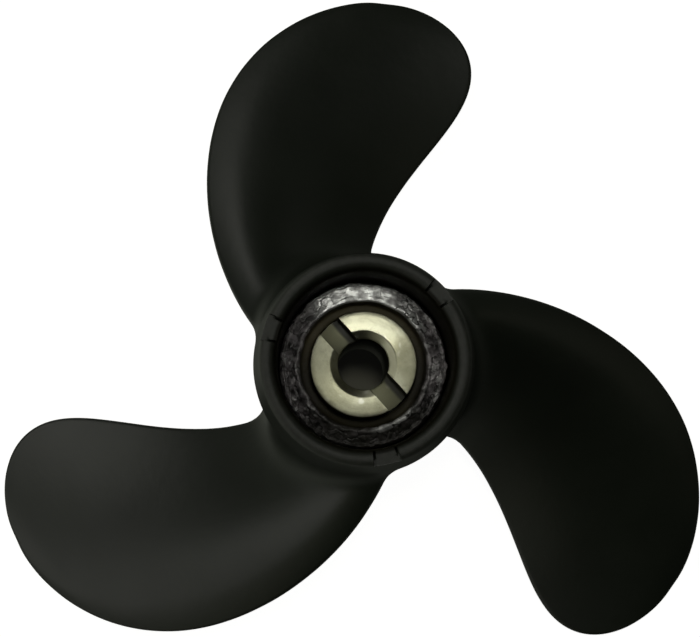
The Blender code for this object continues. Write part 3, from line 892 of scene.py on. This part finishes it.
def add_world():
    """Dim room: a faint glow from below the horizon, stronger to the left of the picture, and almost none above."""
    world = bpy.data.worlds.new("studio")
    world.use_nodes = True
    tree = world.node_tree
    bg = tree.nodes["Background"]
    bg.inputs["Color"].default_value = (1.0, 1.05, 0.88, 1.0)
    coord = tree.nodes.new("ShaderNodeTexCoord")
    a = radians(190.0 + BLADE_PHASE)
    dot = tree.nodes.new("ShaderNodeVectorMath")
    dot.operation = "DOT_PRODUCT"
    dot.inputs[1].default_value = (cos(a), sin(a), 0.0)
    tree.links.new(coord.outputs["Generated"], dot.inputs[0])
    side = tree.nodes.new("ShaderNodeMapRange")
    side.inputs["From Min"].default_value = 0.10
    side.inputs["From Max"].default_value = 1.0
    side.inputs["To Min"].default_value = WORLD_RIGHT
    side.inputs["To Max"].default_value = WORLD_LEFT
    tree.links.new(dot.outputs["Value"], side.inputs["Value"])
    sep = tree.nodes.new("ShaderNodeSeparateXYZ")
    tree.links.new(coord.outputs["Generated"], sep.inputs[0])
    below = tree.nodes.new("ShaderNodeMapRange")
    below.inputs["From Min"].default_value = 0.05
    below.inputs["From Max"].default_value = -0.05
    tree.links.new(sep.outputs["Z"], below.inputs["Value"])
    deep = tree.nodes.new("ShaderNodeMapRange")
    deep.inputs["From Min"].default_value = -0.97
    deep.inputs["From Max"].default_value = -0.86
    tree.links.new(sep.outputs["Z"], deep.inputs["Value"])
    shallow = tree.nodes.new("ShaderNodeMath")
    shallow.operation = "MULTIPLY"
    tree.links.new(below.outputs["Result"], shallow.inputs[0])
    tree.links.new(deep.outputs["Result"], shallow.inputs[1])
    times = tree.nodes.new("ShaderNodeMath")
    times.operation = "MULTIPLY"
    tree.links.new(shallow.outputs[0], times.inputs[0])
    tree.links.new(side.outputs["Result"], times.inputs[1])
    plus = tree.nodes.new("ShaderNodeMath")
    plus.operation = "ADD"
    plus.inputs[1].default_value = WORLD_ABOVE
    tree.links.new(times.outputs[0], plus.inputs[0])
    tree.links.new(plus.outputs[0], bg.inputs["Strength"])
    bpy.context.scene.world = world


def add_floor():
    bm = bmesh.new()
    bmesh.ops.create_circle(bm, cap_ends=True, radius=3.0, segments=96)
    mesh = bpy.data.meshes.new("floor")
    bm.to_mesh(mesh)
    bm.free()
    floor = bpy.data.objects.new("floor", mesh)
    floor.location = (0.0, 0.0, FLOOR_Z - 0.0001)
    bpy.context.scene.collection.objects.link(floor)
    n = Nodes("white_table")
    n.bsdf.inputs["Base Color"].default_value = (0.26, 0.255, 0.20, 1.0)
    n.bsdf.inputs["Roughness"].default_value = 0.9
    # a glowing table: it shines evenly everywhere but under the hub, where a painted shadow stands
    length = n.add("ShaderNodeVectorMath", operation="LENGTH")
    n.link(n.coord, length.inputs[0])
    glow = n.add("ShaderNodeMapRange")
    glow.inputs["From Min"].default_value = 0.0185
    glow.inputs["From Max"].default_value = 0.0195
    glow.inputs["To Min"].default_value = 0.0022
    glow.inputs["To Max"].default_value = 0.97
    n.link(length.outputs["Value"], glow.inputs["Value"])
    n.bsdf.inputs["Emission Color"].default_value = (1.0, 1.0, 1.0, 1.0)
    n.link(glow.outputs["Result"], n.bsdf.inputs["Emission Strength"])
    mesh.materials.append(n.mat)
    floor.visible_glossy = False
    floor.visible_diffuse = False
    return floor


def add_backdrop():
    """A plain white shell round the table. It lights nothing and shades nothing."""
    bm = bmesh.new()
    bmesh.ops.create_icosphere(bm, subdivisions=4, radius=3.0)
    mesh = bpy.data.meshes.new("backdrop")
    bm.to_mesh(mesh)
    bm.free()
    shell = bpy.data.objects.new("backdrop", mesh)
    bpy.context.scene.collection.objects.link(shell)
    n = Nodes("white_backdrop")
    n.bsdf.inputs["Base Color"].default_value = (0.0, 0.0, 0.0, 1.0)
    n.bsdf.inputs["Roughness"].default_value = 1.0
    n.bsdf.inputs["Specular IOR Level"].default_value = 0.0
    n.bsdf.inputs["Emission Color"].default_value = (1.0, 1.0, 1.0, 1.0)
    n.bsdf.inputs["Emission Strength"].default_value = 0.98
    mesh.materials.append(n.mat)
    shell.visible_glossy = False
    shell.visible_diffuse = False
    shell.visible_transmission = False
    shell.visible_volume_scatter = False
    shell.visible_shadow = False
    return shell


def main():
    scene = bpy.context.scene
    scene.view_settings.view_transform = "Standard"
    add_camera()
    casting = build_casting()
    bush = build_bush()
    sleeve = build_sleeve()
    for ob, node, slot in ((casting, "propeller_casting", "black_paint"), (bush, "rubber_bush", "bush_rubber"), (sleeve, "drive_sleeve", "sleeve_brass")):
        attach(ob, "root")
        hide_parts(node)
    add_floor()
    add_backdrop()
    add_world()
    add_light("window_upper", 126.0, 41.0, 0.40, 2.45)
    add_light("window_middle", 158.0, 34.0, 0.36, 1.1)
    add_light("window_top", 114.0, 57.0, 0.45, 1.1)
    add_light("window_lower", 186.0, 58.0, 0.40, 1.75)
    add_light("side_left", 212.0, 60.0, 0.45, 1.4)
    add_light("fill_right", 25.0, 24.0, 0.50, 0.70)
    add_light("side_right", 48.0, 80.0, 0.45, 0.18)
    add_light("fill_low", 240.0, 60.0, 0.50, 0.33, (1.0, 1.0, 0.75))
    add_light("fill_far", 0.0, 60.0, 0.50, 0.20, (1.0, 1.0, 0.75))
    add_light("lamp", 92.0, 6.5, 0.10, 36.0)


main()
